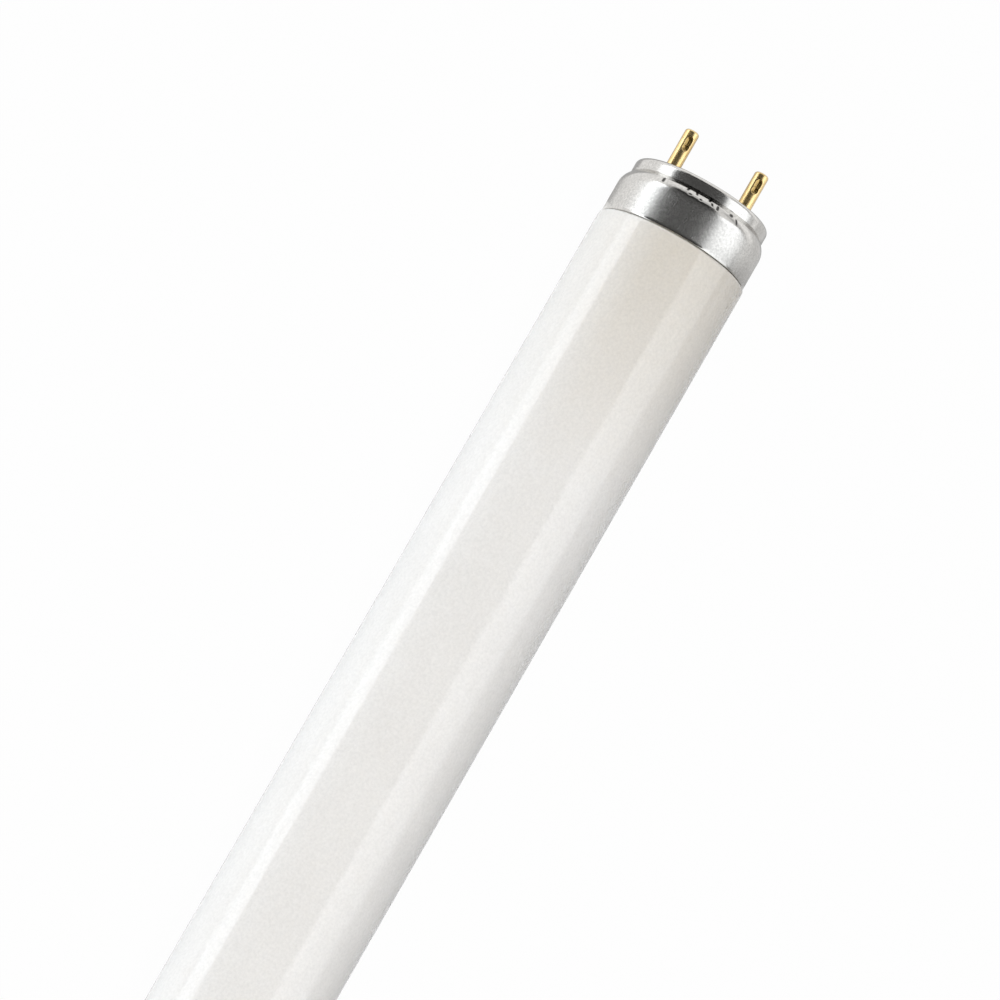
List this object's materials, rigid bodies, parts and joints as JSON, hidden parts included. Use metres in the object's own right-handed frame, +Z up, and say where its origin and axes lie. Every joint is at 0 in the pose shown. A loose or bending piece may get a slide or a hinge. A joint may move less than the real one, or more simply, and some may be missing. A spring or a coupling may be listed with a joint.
{
  "type": "fluorescent tube",
  "caption": "Straight opal glass fluorescent tube with metal end caps, each with a pair of brass contact pins that plug into a lampholder.",
  "frame": {"origin": "middle of the tube on its axis", "axes": "+X along the tube towards the end in the picture, +Y from the front pins to the rear pins, +Z up"},
  "size_m": [0.604, 0.0254, 0.0254],
  "materials": {
    "opal_glass": "gloss glass over a white powder coat inside",
    "cap_metal": "bright drawn sheet",
    "phenolic": "moulded, matt",
    "pin_brass": "polished",
    "cement": "dull, cured resin with marble flour",
    "wire_metal": "drawn wire"
  },
  "bodies": {
    "root": {"glass_tube": "opal_glass", "cap_shell_right": "cap_metal", "cap_shell_left": "cap_metal", "insulating_plate_right": "phenolic", "insulating_plate_left": "phenolic", "contact_pin_right_rear": "pin_brass", "contact_pin_right_front": "pin_brass", "contact_pin_left_rear": "pin_brass", "contact_pin_left_front": "pin_brass", "basing_cement_right": "cement", "basing_cement_left": "cement", "lead_wire_right_rear": "wire_metal", "lead_wire_right_front": "wire_metal", "lead_wire_left_rear": "wire_metal", "lead_wire_left_front": "wire_metal"}
  },
  "joints": []
}
